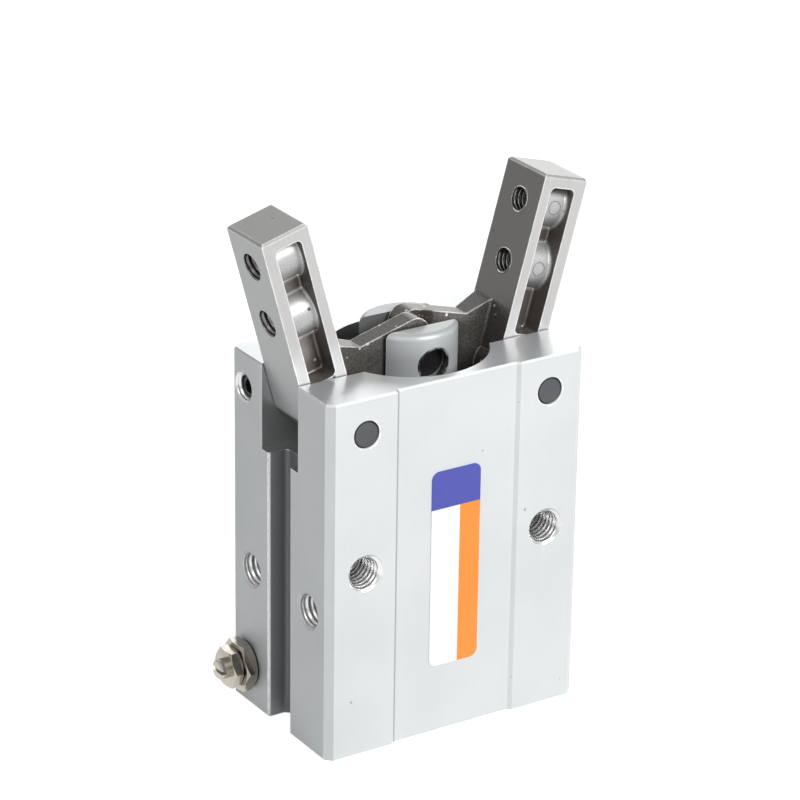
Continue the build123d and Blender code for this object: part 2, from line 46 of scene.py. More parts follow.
# Places that the looks need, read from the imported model
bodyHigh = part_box("body")[1]
labelLow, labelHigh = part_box("label")
crossPinLow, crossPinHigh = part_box("cross_pin")
joints = {joint["name"]: joint for joint in frame["joints"]}
mounts = {mount["name"]: mount for mount in frame["record"]["mounts"]}
halfWidth = bodyHigh.x
halfDepth = bodyHigh.y
pivotX = joints["right_finger_pivot"]["pos_m"][0]
pivotHeight = joints["right_finger_pivot"]["pos_m"][2]
crossPinHeight = (crossPinLow.z + crossPinHigh.z) / 2
portNames = ("closing_port", "opening_port")

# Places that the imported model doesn't state; the cuts are taken a hair wide, to hold their walls
leverLean = math.radians(15.5)
screwInset = 3.6 * mm
slotHalf = 4.92 * mm
slotFloor = bodyHigh.z - 12.75 * mm
throatRadius = 11.43 * mm
throatFloor = bodyHigh.z - 17.15 * mm
grooveHalf = 2.82 * mm
grooveFrom = halfWidth - 3.25 * mm


# Node tree helpers

def link(tree, source, target):
    tree.links.new(source, target)


def setSocket(tree, socket, value):  # a link where the value is a socket too
    if isinstance(value, bpy.types.NodeSocket):
        link(tree, value, socket)
    else:
        socket.default_value = value


def setInputs(tree, node, values):
    for name, value in values.items():
        setSocket(tree, node.inputs[name], value)


def addNode(tree, kind, values=None, **settings):
    node = tree.nodes.new(kind)
    for name, value in settings.items():
        setattr(node, name, value)
    setInputs(tree, node, values or {})
    return node


def calc(tree, operation, *values, clamp=False):
    node = addNode(tree, "ShaderNodeMath", operation=operation, use_clamp=clamp)
    for socket, value in zip(node.inputs, values):
        setSocket(tree, socket, value)
    return node.outputs[0]


def vectorCalc(tree, operation, first, second):
    node = addNode(tree, "ShaderNodeVectorMath", operation=operation)
    for socket, value in zip(node.inputs, (first, second)):
        setSocket(tree, socket, value)
    return node.outputs


def splitPoint(tree, point):
    return addNode(tree, "ShaderNodeSeparateXYZ", {"Vector": point}).outputs


def objectPoint(tree):
    return tree.nodes.new("ShaderNodeTexCoord").outputs["Object"]


def addNoise(tree, point, scale, detail=2.0, roughness=0.5):
    values = {"Vector": point, "Scale": scale, "Detail": detail, "Roughness": roughness}
    return addNode(tree, "ShaderNodeTexNoise", values).outputs["Fac"]


def bumpNormal(tree, height, look):
    values = {"Height": height, "Distance": look["bump"], "Strength": look["bumpStrength"]}
    return addNode(tree, "ShaderNodeBump", values).outputs[0]


def fade(tree, value, low, high):  # 0 below low, 1 above high, smooth between
    values = {"Value": value, "From Min": low, "From Max": high}
    return addNode(tree, "ShaderNodeMapRange", values, interpolation_type="SMOOTHSTEP").outputs["Result"]


def invert(tree, mask):
    return calc(tree, "SUBTRACT", 1.0, mask)


def both(tree, first, second):
    return calc(tree, "MULTIPLY", first, second)


def either(tree, first, second):
    return calc(tree, "MAXIMUM", first, second)


def above(tree, value, limit, soft):
    return fade(tree, value, limit - soft, limit)


def below(tree, value, limit, soft):
    return invert(tree, fade(tree, value, limit, limit + soft))


def between(tree, value, low, high, soft):
    return both(tree, above(tree, value, low, soft), below(tree, value, high, soft))


def joinMasks(tree, join, masks):  # join is both or either
    joined = masks[0]
    for mask in masks[1:]:
        joined = join(tree, joined, mask)
    return joined


def lengthOf(tree, first, second):
    return calc(tree, "SQRT", calc(tree, "ADD", both(tree, first, first), both(tree, second, second)))


def blendValue(tree, mask, low, high):  # low where the mask is 0, high where it is 1
    return calc(tree, "MULTIPLY_ADD", mask, high - low, low)


def mixColor(tree, factor, first, second):
    node = addNode(tree, "ShaderNodeMix", data_type="RGBA")
    for index, value in ((0, factor), (6, first), (7, second)):  # 6 and 7 are its two color sockets
        setSocket(tree, node.inputs[index], value)
    return node.outputs[2]


def layColors(tree, base, layers):  # each layer is a mask and its color
    for mask, color in layers:
        base = mixColor(tree, mask, base, color)
    return base


def stackHeights(tree, base, layers):  # each layer is a mask and its height
    for mask, height in layers:
        base = calc(tree, "MULTIPLY_ADD", mask, height, base)
    return base


def spreadRoughness(tree, level, grain, spread):  # the grain spreads it evenly about its level
    return calc(tree, "MULTIPLY_ADD", grain, spread, calc(tree, "SUBTRACT", level, spread / 2))


def newGroup(name, inputs, outputs, kind="ShaderNodeTree"):
    tree = bpy.data.node_groups.new(name, kind)
    for direction, sockets in (("INPUT", inputs), ("OUTPUT", outputs)):
        for label, socketKind in sockets.items():
            tree.interface.new_socket(label, in_out=direction, socket_type="NodeSocket" + socketKind)
    return tree, tree.nodes.new("NodeGroupInput").outputs, tree.nodes.new("NodeGroupOutput").inputs


def placeGroup(tree, group, values):
    node = tree.nodes.new("ShaderNodeGroup")
    node.node_tree = group
    setInputs(tree, node, values)
    return node.outputs


# Shader groups shared by the finishes
groupLook = {
    "edgeSamples": 6, "turnFrom": 0.008, "turnTo": 0.09,
    "spotScale": 900.0, "spotFrom": 0.3, "spotTo": 0.6,
    "grainDetail": 3.0, "grainRoughness": 0.6, "cloudScale": 70.0,
    "speckInner": 0.12, "speckOuter": 0.22,
    "ringSoft": 0.04 * mm, "chipScale": 1500.0, "chipFrom": 0.42, "chipTo": 0.55,
}


def makeEdgeWearAndShading(look):
    # Where the surface turns within a short radius: 1 on an edge, 0 on a flat. The finishes use it for worn edges,
    # for painted edge highlights and for painted edge shade
    inputs = {"Radius": "Float", "Point": "Vector", "Breakup": "Float"}
    tree, inside, outside = newGroup("edgeWear", inputs, {"Edge": "Float"})
    soft = addNode(tree, "ShaderNodeBevel", {"Radius": inside["Radius"]}, samples=look["edgeSamples"])
    sharp = tree.nodes.new("ShaderNodeNewGeometry").outputs["Normal"]
    turned = invert(tree, vectorCalc(tree, "DOT_PRODUCT", soft.outputs[0], sharp)["Value"])
    edge = fade(tree, turned, look["turnFrom"], look["turnTo"])
    spots = fade(tree, addNoise(tree, inside["Point"], look["spotScale"]), look["spotFrom"], look["spotTo"])
    lost = both(tree, inside["Breakup"], invert(tree, spots))
    link(tree, both(tree, edge, invert(tree, lost)), outside["Edge"])
    return tree


def makeBlastGrain(look):
    # Fine matt grain of blasted and anodised metal, with a slow variation over it
    inputs = {"Point": "Vector", "Size": "Float"}
    tree, inside, outside = newGroup("blastGrain", inputs, {"Grain": "Float", "Cloud": "Float"})
    fine = addNoise(tree, inside["Point"], inside["Size"], look["grainDetail"], look["grainRoughness"])
    slow = addNoise(tree, inside["Point"], look["cloudScale"], look["grainDetail"])
    link(tree, fine, outside["Grain"])
    link(tree, slow, outside["Cloud"])
    return tree


def makeSpecks(look):
    # Small sparse dots: dust, pits and grease spots
    inputs = {"Point": "Vector", "Size": "Float", "Amount": "Float"}
    tree, inside, outside = newGroup("specks", inputs, {"Speck": "Float"})
    cells = addNode(tree, "ShaderNodeTexVoronoi", {"Vector": inside["Point"], "Scale": inside["Size"]})
    near = invert(tree, fade(tree, cells.outputs["Distance"], look["speckInner"], look["speckOuter"]))
    number = addNode(tree, "ShaderNodeSeparateColor", {"Color": cells.outputs["Color"]}).outputs[0]
    chosen = calc(tree, "LESS_THAN", number, inside["Amount"])
    link(tree, both(tree, near, chosen), outside["Speck"])
    return tree


def makeGrindLines():
    # Long thin lines left by drawing or grinding, along Z
    inputs = {"Point": "Vector", "Across": "Float", "Lengthwise": "Float"}
    tree, inside, outside = newGroup("grindLines", inputs, {"Line": "Float"})
    values = {"X": inside["Across"], "Y": inside["Across"], "Z": inside["Lengthwise"]}
    scale = addNode(tree, "ShaderNodeCombineXYZ", values).outputs[0]
    stretched = vectorCalc(tree, "MULTIPLY", inside["Point"], scale)["Vector"]
    link(tree, addNoise(tree, stretched, 1.0), outside["Line"])
    return tree


def makeMouthRing(look):
    # Narrow ring round the mouth of a hole, broken up as a tool or a burr leaves it. The finishes also use it for
    # a painted highlight crescent and for painted shade rings round mouths
    inputs = {"Point": "Vector", "Center": "Vector", "Inner": "Float", "Outer": "Float", "Breakup": "Float"}
    tree, inside, outside = newGroup("mouthRing", inputs, {"Ring": "Float"})
    distance = vectorCalc(tree, "DISTANCE", inside["Point"], inside["Center"])["Value"]
    innerSoft = calc(tree, "SUBTRACT", inside["Inner"], look["ringSoft"])
    outerSoft = calc(tree, "ADD", inside["Outer"], look["ringSoft"])
    ring = both(tree, fade(tree, distance, innerSoft, inside["Inner"]),
                invert(tree, fade(tree, distance, inside["Outer"], outerSoft)))
    chips = fade(tree, addNoise(tree, inside["Point"], look["chipScale"]), look["chipFrom"], look["chipTo"])
    lost = both(tree, inside["Breakup"], chips)
    link(tree, both(tree, ring, invert(tree, lost)), outside["Ring"])
    return tree


edgeWear = makeEdgeWearAndShading(groupLook)
blastGrain = makeBlastGrain(groupLook)
specks = makeSpecks(groupLook)
grindLines = makeGrindLines()
mouthRing = makeMouthRing(groupLook)


def edgeMask(tree, point, look):
    values = {"Point": point, "Radius": look["edgeRadius"], "Breakup": look["edgeBreakup"]}
    return placeGroup(tree, edgeWear, values)["Edge"]


def grainMasks(tree, point, size):
    outputs = placeGroup(tree, blastGrain, {"Point": point, "Size": size})
    return outputs["Grain"], outputs["Cloud"]


def speckMask(tree, point, look, kind):  # kind is how the look calls these specks, such as pit
    values = {"Point": point, "Size": look[kind + "Size"], "Amount": look[kind + "Amount"]}
    return placeGroup(tree, specks, values)["Speck"]


def lineMask(tree, point, look):
    values = {"Point": point, "Across": look["lineAcross"], "Lengthwise": look["lineLengthwise"]}
    return placeGroup(tree, grindLines, values)["Line"]


def ringMask(tree, point, mouths, breakup):  # each mouth has its center and the ring's two radii
    rings = []
    for center, inner, outer in mouths:
        values = {"Point": point, "Center": center, "Inner": inner, "Outer": outer, "Breakup": breakup}
        rings.append(placeGroup(tree, mouthRing, values)["Ring"])
    return joinMasks(tree, either, rings)


def startMaterial(name):
    material = bpy.data.materials.new(name)
    material.use_nodes = True
    tree = material.node_tree
    tree.nodes.clear()
    shader = tree.nodes.new("ShaderNodeBsdfPrincipled")
    addNode(tree, "ShaderNodeOutputMaterial", {"Surface": shader.outputs[0]})
    return material, tree, shader


def grey(level, warmth=0.0):
    return (level * (1 + warmth), level, level * (1 - warmth), 1.0)


# Drawn and anodised body: matt outside, milled on top and in the slot, with painted shade in the slot, the throat
# and the grooves

def bodyMouths(look):
    shift = look["burrShift"]
    # Set off down and to +X, so that the burr is a crescent; its bright colour is a painted highlight on the lit
    # side of a raised burr
    pinned = [((x + shift, y, pivotHeight - shift), *look["pinRing"])
              for y in (-halfDepth, halfDepth) for x in (-pivotX, pivotX)]
    drilled = [(tuple(mounts[port]["pos_m"]), *look["portRing"]) for port in portNames]
    return drilled, pinned


def makeBodyMetal(name, look):
    material, tree, shader = startMaterial(name)
    point = objectPoint(tree)
    soft = look["soft"]
    x, y, z = splitPoint(tree, point)
    spread = calc(tree, "ABSOLUTE", x)
    sideways = calc(tree, "ABSOLUTE", y)
    radius = lengthOf(tree, x, y)
    top = fade(tree, z, bodyHigh.z - look["topSkin"], bodyHigh.z - look["topSkin"] / 4)
    slot = both(tree, below(tree, sideways, slotHalf, soft), above(tree, z, slotFloor, soft))
    throat = both(tree, below(tree, radius, throatRadius, soft), above(tree, z, throatFloor, soft))
    groove = both(tree, above(tree, spread, grooveFrom, soft), below(tree, sideways, grooveHalf, soft))
    groove = both(tree, groove, invert(tree, slot))
    milled = either(tree, top, either(tree, slot, throat))

    grain, cloud = grainMasks(tree, point, look["grainSize"])
    drawn = both(tree, both(tree, lineMask(tree, point, look), invert(tree, milled)), look["drawnShare"])
    edgeShadingAndWear = edgeMask(tree, point, look)
    pits = speckMask(tree, point, look, "pit")
    nicks = speckMask(tree, point, look, "nick")
    drilled, pinned = bodyMouths(look)
    machined = ringMask(tree, point, drilled, look["portBreakup"])
    burrHighlight = ringMask(tree, point, pinned, look["burrBreakup"])

    # Painted highlight along the lips of the sensor grooves, broken up by the grain
    lipWidth = look["lipWidth"]
    lipHighlight = both(tree, between(tree, sideways, grooveHalf, grooveHalf + lipWidth, soft),
               fade(tree, spread, halfWidth - lipWidth, halfWidth - lipWidth / 2))
    lost = either(tree, slot, fade(tree, grain, look["lipGrainFrom"], look["lipGrainTo"]))
    lipHighlight = both(tree, both(tree, lipHighlight, invert(tree, lost)), look["lipBright"])
    bright = either(tree, machined, either(tree, burrHighlight, lipHighlight))

    # Painted shade: a darker line at the foot of each panel's left step
    leftward = calc(tree, "MULTIPLY", x, calc(tree, "SIGN", y))
    stepShade = both(tree, between(tree, leftward, look["footFrom"], look["footTo"], soft),
                above(tree, sideways, halfDepth - look["footDepth"], soft))

    base = mixColor(tree, fade(tree, cloud, *look["cloudSpan"]), look["colorLow"], look["colorHigh"])
    # Painted shade in the slot, the throat and the grooves, darkest deep inside the grooves
    deepness = fade(tree, spread, grooveFrom, halfWidth)
    base = layColors(tree, base, (
        (drawn, look["drawnColor"]),
        (top, look["topColor"]),
        (slot, look["slotColor"]),
        (throat, look["throatColor"]),
        (groove, mixColor(tree, deepness, look["grooveDeep"], look["grooveLip"])),
        (both(tree, pits, look["pitDark"]), look["pitColor"]),
        (both(tree, nicks, look["nickDark"]), look["nickColor"]),
        # Edge colour: worn edges with a painted edge highlight
        (both(tree, edgeShadingAndWear, look["edgeBright"]), look["edgeColor"]),
        (stepShade, look["footColor"]),
        # Bright: machined rings round the ports, and the painted highlights on the groove lips and the burrs
        (bright, look["machinedColor"]),
    ))
    metal = blendValue(tree, milled, look["metallic"], look["milledMetallic"])
    metal = either(tree, metal, both(tree, bright, look["machinedMetallic"]))
    rough = blendValue(tree, milled, look["roughness"], look["milledRoughness"])
    rough = spreadRoughness(tree, rough, grain, look["roughSpread"])
    rough = calc(tree, "SUBTRACT", rough, both(tree, either(tree, edgeShadingAndWear, machined), look["shine"]))
    height = stackHeights(tree, grain, (
        (pits, -look["pitDepth"]), (nicks, -look["nickDepth"]), (burrHighlight, look["burrHeight"]),
    ))
    normal = bumpNormal(tree, height, look)
    setInputs(tree, shader, {"Base Color": base, "Metallic": metal, "Roughness": rough, "Normal": normal})
    return material


bodyLook = {
    "colorLow": (0.59, 0.62, 0.63, 1.0), "colorHigh": (0.64, 0.665, 0.672, 1.0), "cloudSpan": (0.3, 0.7),
    "drawnColor": (0.68, 0.695, 0.705, 1.0), "drawnShare": 0.35,
    "lineAcross": 3000.0, "lineLengthwise": 25.0,
    "topColor": (0.6, 0.62, 0.63, 1.0), "topSkin": 0.12 * mm,
    # The slot, throat and groove colours are painted shade
    "slotColor": (0.45, 0.465, 0.47, 1.0),
    "throatColor": (0.24, 0.25, 0.255, 1.0),
    "grooveDeep": (0.17, 0.18, 0.185, 1.0), "grooveLip": (0.38, 0.395, 0.4, 1.0),
    # The lips' brightness is a painted highlight
    "lipWidth": 0.35 * mm, "lipBright": 0.75, "lipGrainFrom": 0.5, "lipGrainTo": 0.62,
    # The foot colour is painted shade
    "footFrom": 9.6 * mm, "footTo": 10.0 * mm, "footDepth": 0.5 * mm, "footColor": (0.36, 0.37, 0.375, 1.0),
    "edgeColor": grey(0.93), "edgeBright": 0.75, "edgeRadius": 0.16 * mm, "edgeBreakup": 0.25,
    # The machined colour also paints the highlights on the lips and the burrs
    "machinedColor": (0.86, 0.865, 0.87, 1.0), "portRing": (2.5 * mm, 2.8 * mm), "portBreakup": 0.25,
    "pinRing": (2.05 * mm, 2.2 * mm), "burrShift": 0.11 * mm, "burrBreakup": 0.9, "burrHeight": 1.5,
    "pitColor": grey(0.3), "pitDark": 0.5, "pitSize": 1300.0, "pitAmount": 0.006, "pitDepth": 2.0,
    "nickColor": grey(0.3), "nickDark": 0.75, "nickSize": 700.0, "nickAmount": 0.009, "nickDepth": 2.5,
    "metallic": 0.2, "milledMetallic": 0.55, "machinedMetallic": 0.85,
    "roughness": 0.48, "milledRoughness": 0.3, "roughSpread": 0.12, "shine": 0.12,
    "grainSize": 5000.0, "bump": 0.012 * mm, "bumpStrength": 0.5,
    "soft": 0.05 * mm,
}


# Anodised rod: pale outside, with painted shade between its two ears

def makeRodMetal(name, look):
    material, tree, shader = startMaterial(name)
    point = objectPoint(tree)
    parts = splitPoint(tree, point)
    # Painted shade between the two ears
    forkShade = both(tree, below(tree, calc(tree, "ABSOLUTE", parts["Y"]), look["earFrom"], look["soft"]),
                  above(tree, parts["Z"], look["forkFloor"], look["soft"]))
    grain, cloud = grainMasks(tree, point, look["grainSize"])
    edgeShadingAndWear = edgeMask(tree, point, look)
    pits = speckMask(tree, point, look, "pit")
    holeRim = ringMask(tree, point, look["sootRings"], look["sootBreakup"])
    base = mixColor(tree, fade(tree, cloud, *look["cloudSpan"]), look["colorLow"], look["colorHigh"])
    base = layColors(tree, base, (
        (both(tree, pits, look["pitDark"]), look["pitColor"]),
        # Edge colour: a painted highlight along the edges, with wear
        (both(tree, edgeShadingAndWear, look["edgeBright"]), look["edgeColor"]),
        (forkShade, look["forkColor"]),
        (holeRim, look["sootColor"]),
    ))
    metal = both(tree, invert(tree, holeRim), look["metallic"])
    rough = spreadRoughness(tree, look["roughness"], grain, look["roughSpread"])
    rough = calc(tree, "SUBTRACT", rough, both(tree, edgeShadingAndWear, look["shine"]))
    normal = bumpNormal(tree, stackHeights(tree, grain, ((pits, -look["pitDepth"]),)), look)
    setInputs(tree, shader, {"Base Color": base, "Metallic": metal, "Roughness": rough, "Normal": normal})
    return material


rodLook = {
    "colorLow": (0.41, 0.43, 0.44, 1.0), "colorHigh": (0.47, 0.485, 0.495, 1.0), "cloudSpan": (0.3, 0.7),
    "edgeColor": (0.9, 0.91, 0.92, 1.0), "edgeBright": 0.9, "edgeRadius": 0.25 * mm, "edgeBreakup": 0.25,
    "pitColor": grey(0.12), "pitDark": 0.8, "pitSize": 1500.0, "pitAmount": 0.012, "pitDepth": 2.0,
    # A dark ring round the mouths of the cross hole, on the round face of the rod
    "sootRings": [((0.0, y, crossPinHeight), 2.25 * mm, 2.55 * mm) for y in (-6.5 * mm, 6.5 * mm)],
    "sootColor": grey(0.02), "sootBreakup": 0.35,
    # The fork colour is painted shade
    "forkColor": (0.16, 0.165, 0.17, 1.0), "earFrom": 3.52 * mm, "forkFloor": crossPinHeight - 8.65 * mm,
    "metallic": 0.22, "roughness": 0.38, "roughSpread": 0.1, "shine": 0.1,
    "grainSize": 6000.0, "bump": 0.004 * mm, "bumpStrength": 0.4,
    "soft": 0.05 * mm,
}


# Steel of the levers: ground outside, cast and dark in the pockets and towards the rod, with painted shade on the
# finger's inner face

def makeLeverSteel(name, side, look):
    material, tree, shader = startMaterial(name)
    point = objectPoint(tree)
    soft = look["soft"]
    # Turned upright about the pivot; inward points at the rod and along runs up the finger
    moved = vectorCalc(tree, "SUBTRACT", point, (side * pivotX, 0.0, pivotHeight))["Vector"]
    values = {"Vector": moved, "Angle": side * -leverLean}
    turned = addNode(tree, "ShaderNodeVectorRotate", values, rotation_type="Y_AXIS").outputs[0]
    parts = splitPoint(tree, turned)
    inward = calc(tree, "MULTIPLY", parts["X"], -side)
    across = calc(tree, "ABSOLUTE", parts["Y"])
    along = parts["Z"]

    # Where the lever was ground, its arm that was left as cast, and the finger's pockets
    rim = above(tree, across, look["rimFrom"], soft)
    outer = below(tree, inward, look["outerFrom"], soft)
    end = above(tree, along, look["endFrom"], soft)
    inner = both(tree, between(tree, inward, look["innerFrom"], look["innerTo"], soft),
                 above(tree, along, look["rootHeight"], soft))
    arm = both(tree, fade(tree, inward, look["innerTo"], look["innerTo"] + soft), invert(tree, rim))
    pocket = both(tree, between(tree, inward, look["pocketOuter"], look["pocketInner"], soft),
                  between(tree, along, look["pocketLow"], look["pocketHigh"], soft))
    pocket = both(tree, pocket, invert(tree, rim))

    # Round each tool thread: the boss, a painted highlight round its foot, the mould's mark and the mouth kept
    # clear of edge shading and wear
    crowns = []
    clears = []
    crests = []
    circles = []
    shift = calc(tree, "SUBTRACT", inward, look["markInward"])
    markRadius = look["markRadius"]
    bossRadius = look["bossRadius"]
    crestFrom = bossRadius + look["crestFrom"]
    crestTo = bossRadius + look["crestTo"]
    for height in look["bossHeights"]:
        lift = calc(tree, "SUBTRACT", along, height)
        reach = lengthOf(tree, lift, across)
        spread = lengthOf(tree, lift, shift)
        crowns.append(below(tree, reach, bossRadius, look["bossFade"]))
        clears.append(fade(tree, reach, look["mouthClear"], look["mouthClear"] + soft))
        crests.append(between(tree, reach, crestFrom, crestTo, soft))
        circles.append(between(tree, spread, markRadius, markRadius + look["markLine"], look["markLine"] / 2))
    boss = both(tree, joinMasks(tree, either, crowns), pocket)
    clear = joinMasks(tree, both, clears)
    innerHalf = fade(tree, inward, 0.0, look["pocketInner"])
    crest = both(tree, joinMasks(tree, either, crests), both(tree, boss, innerHalf))
    # The mould leaves its round marks on one side of the finger only
    marked = fade(tree, calc(tree, "MULTIPLY", parts["Y"], -side), 0.0, soft)
    mark = both(tree, joinMasks(tree, either, circles), both(tree, boss, marked))
    ground = either(tree, either(tree, rim, outer), either(tree, end, inner))
    cast = both(tree, invert(tree, ground), invert(tree, boss))

    grain, cloud = grainMasks(tree, point, look["grainSize"])
    casting = grainMasks(tree, point, look["castSize"])[0]
    lines = lineMask(tree, turned, look)
    dust = both(tree, speckMask(tree, point, look, "dust"), cast)
    holes = speckMask(tree, point, look, "hole")
    edgeShadingAndWear = both(tree, edgeMask(tree, point, look), clear)
    cloudy = fade(tree, cloud, *look["cloudSpan"])
    blotch = fade(tree, casting, *look["blotchSpan"])

    # Old grease where the two arms rub on each other
    gap = vectorCalc(tree, "DISTANCE", point, look["greasePlace"])["Value"]
    ragged = calc(tree, "MULTIPLY_ADD", casting, look["greaseRagged"], gap)
    grease = both(tree, arm, below(tree, ragged, look["greaseRadius"], look["greaseFade"]))
    bits = speckMask(tree, point, look, "bit")
    greaseColor = mixColor(tree, bits, look["greaseDark"], look["greaseLight"])

    base = mixColor(tree, blotch, look["castDark"], look["castLight"])
    # The crest colour is a painted highlight round the foot of each boss, on its inner half only
    bossColor = layColors(tree, mixColor(tree, blotch, look["bossDark"], look["bossLight"]), (
        (mark, look["markColor"]), (crest, look["crestColor"]),
    ))
    base = layColors(tree, base, (
        (pocket, mixColor(tree, cloudy, look["pocketDark"], look["pocketLight"])),
        (boss, bossColor),
        # Painted shade: the inner face is darker than the other ground faces
        (inner, mixColor(tree, lines, look["innerDark"], look["innerLight"])),
        (outer, mixColor(tree, lines, look["outerDark"], look["outerLight"])),
        (rim, mixColor(tree, lines, look["rimDark"], look["rimLight"])),
        (end, look["endColor"]),
        (dust, look["dustColor"]),
        (both(tree, holes, look["holeDark"]), look["holeColor"]),
        # Edge colour: worn edges with a painted edge highlight
        (both(tree, edgeShadingAndWear, look["edgeBright"]), look["edgeColor"]),
        (both(tree, grease, look["greaseShare"]), greaseColor),
    ))
    metal = both(tree, invert(tree, grease), look["metallic"])
    rough = blendValue(tree, ground, look["castRoughness"], look["groundRoughness"])
    rough = calc(tree, "MULTIPLY_ADD", boss, look["bossRoughness"] - look["castRoughness"], rough)
    rough = spreadRoughness(tree, rough, grain, look["roughSpread"])
    skin = both(tree, blendValue(tree, ground, 1.0, look["groundSkin"]),
                blendValue(tree, boss, 1.0, look["bossSkin"]))
    height = stackHeights(tree, both(tree, casting, skin), (
        (both(tree, lines, ground), look["lineHeight"]),
        (holes, -look["holeDepth"]),
        (mark, look["markHeight"]),
        (both(tree, grease, grain), look["greaseHeight"]),
    ))
    normal = bumpNormal(tree, height, look)
    setInputs(tree, shader, {"Base Color": base, "Metallic": metal, "Roughness": rough, "Normal": normal})
    return material


leverLook = {
    "rimFrom": 4.62 * mm, "outerFrom": -3.92 * mm, "endFrom": 28.3 * mm,
    "innerFrom": 3.38 * mm, "innerTo": 3.5 * mm, "rootHeight": 8.9 * mm,
    "pocketOuter": -2.24 * mm, "pocketInner": 1.94 * mm, "pocketLow": 5.36 * mm, "pocketHigh": 26.84 * mm,
    "bossHeights": (14.75 * mm, 23.75 * mm), "bossRadius": 3.66 * mm, "bossFade": 0.5 * mm,
    "mouthClear": 2.25 * mm,
    "markInward": -0.3 * mm, "markRadius": 0.92 * mm, "markLine": 0.1 * mm, "markHeight": 0.6,
    "castDark": (0.08, 0.074, 0.067, 1.0), "castLight": (0.148, 0.138, 0.128, 1.0),
    "pocketDark": (0.12, 0.106, 0.098, 1.0), "pocketLight": (0.17, 0.152, 0.14, 1.0),
    "bossDark": grey(0.37), "bossLight": grey(0.45),
    "markColor": grey(0.2),
    # The crest colour is a painted highlight
    "crestFrom": 0.08 * mm, "crestTo": 0.24 * mm, "crestColor": grey(0.85),
    "rimDark": grey(0.42, 0.01), "rimLight": grey(0.48, 0.01),
    "outerDark": (0.38, 0.387, 0.39, 1.0), "outerLight": (0.41, 0.415, 0.42, 1.0),
    # The inner colours are painted shade
    "innerDark": grey(0.15, 0.03), "innerLight": grey(0.175, 0.03),
    "endColor": grey(0.34, 0.01),
    "dustColor": grey(0.8), "dustSize": 800.0, "dustAmount": 0.16,
    "holeColor": grey(0.025), "holeDark": 0.85, "holeSize": 600.0, "holeAmount": 0.03, "holeDepth": 1.2,
    "edgeColor": grey(0.85), "edgeBright": 0.95, "edgeRadius": 0.34 * mm, "edgeBreakup": 0.5,
    "greasePlace": (2.9 * mm, 0.1 * mm, 57.6 * mm), "greaseRadius": 2.3 * mm, "greaseRagged": 2.0 * mm,
    "greaseFade": 0.24 * mm, "greaseShare": 0.9, "greaseHeight": 2.0,
    "greaseDark": (0.025, 0.02, 0.014, 1.0), "greaseLight": (0.45, 0.38, 0.27, 1.0),
    "bitSize": 1700.0, "bitAmount": 0.45,
    "metallic": 0.5,
    "castRoughness": 0.33, "groundRoughness": 0.36, "bossRoughness": 0.42, "roughSpread": 0.12,
    "grainSize": 3500.0, "castSize": 4500.0, "cloudSpan": (0.35, 0.65), "blotchSpan": (0.4, 0.62),
    "lineAcross": 4000.0, "lineLengthwise": 90.0, "lineHeight": 0.25,
    "groundSkin": 0.05, "bossSkin": 0.4, "bump": 0.03 * mm, "bumpStrength": 0.6,
    "soft": 0.06 * mm,
}


# Plain finishes: pins, screws, plated brass, turned and cut metal, rubber

def makePlainFinish(name, look):
    material, tree, shader = startMaterial(name)
    point = objectPoint(tree)
    grain, cloud = grainMasks(tree, point, look["grainSize"])
    edgeShadingAndWear = edgeMask(tree, point, look)
    dirt = speckMask(tree, point, look, "dirt")
    base = mixColor(tree, fade(tree, cloud, *look["cloudSpan"]), look["colorLow"], look["colorHigh"])
    base = layColors(tree, base, (
        (both(tree, dirt, look["dirtShare"]), look["dirtColor"]),
        # Edge colour: painted edge highlights on edges lighter than the part, painted edge shade on edges darker
        # than it
        (both(tree, edgeShadingAndWear, look["edgeBright"]), look["edgeColor"]),
    ))
    if look["darkRings"]:
        rings = ringMask(tree, point, look["darkRings"], look["ringBreakup"])
        base = mixColor(tree, rings, base, look["ringColor"])
    rough = spreadRoughness(tree, look["roughness"], grain, look["roughSpread"])
    normal = bumpNormal(tree, grain, look)
    metal = look["metallic"]
    setInputs(tree, shader, {"Base Color": base, "Metallic": metal, "Roughness": rough, "Normal": normal})
    return material


pinEnds = [(x, y, pivotHeight) for x in (-pivotX, pivotX) for y in (-halfDepth, halfDepth)]
pinLook = {
    "colorLow": (0.06, 0.064, 0.072, 1.0), "colorHigh": (0.08, 0.084, 0.092, 1.0), "cloudSpan": (0.35, 0.65),
    # Painted shade: a dark ring and dark edges in the chamfer of each pin end
    "darkRings": [(end, 1.78 * mm, 2.06 * mm) for end in pinEnds],
    "ringColor": grey(0.012), "ringBreakup": 0.2,
    "edgeColor": grey(0.012), "edgeBright": 0.9, "edgeRadius": 0.16 * mm, "edgeBreakup": 0.3,
    "dirtColor": grey(0.5), "dirtShare": 0.7, "dirtSize": 900.0, "dirtAmount": 0.03,
    "metallic": 0.35, "roughness": 0.45, "roughSpread": 0.2,
    "grainSize": 4000.0, "bump": 0.008 * mm, "bumpStrength": 0.5,
}
# The plain edge colours paint highlights on edges lighter than the part and shade on edges darker than it
plainLook = dict(pinLook, darkRings=[])
screwLook = dict(plainLook, colorLow=grey(0.03), colorHigh=grey(0.05), edgeColor=grey(0.25),
                 metallic=0.7, roughness=0.35)
nickelLook = dict(plainLook, colorLow=(0.24, 0.215, 0.18, 1.0), colorHigh=(0.5, 0.47, 0.42, 1.0),
                  edgeColor=(0.88, 0.85, 0.78, 1.0), edgeBright=0.75, edgeRadius=0.1 * mm,
                  dirtColor=(0.1, 0.08, 0.06, 1.0), dirtAmount=0.08, grainSize=900.0,
                  metallic=0.95, roughness=0.22, bump=0.02 * mm)
crossPinLook = dict(plainLook, colorLow=grey(0.025), colorHigh=grey(0.04), metallic=0.8, roughness=0.4)
magnetLook = dict(plainLook, colorLow=grey(0.06), colorHigh=grey(0.09), metallic=0.5, roughness=0.6)
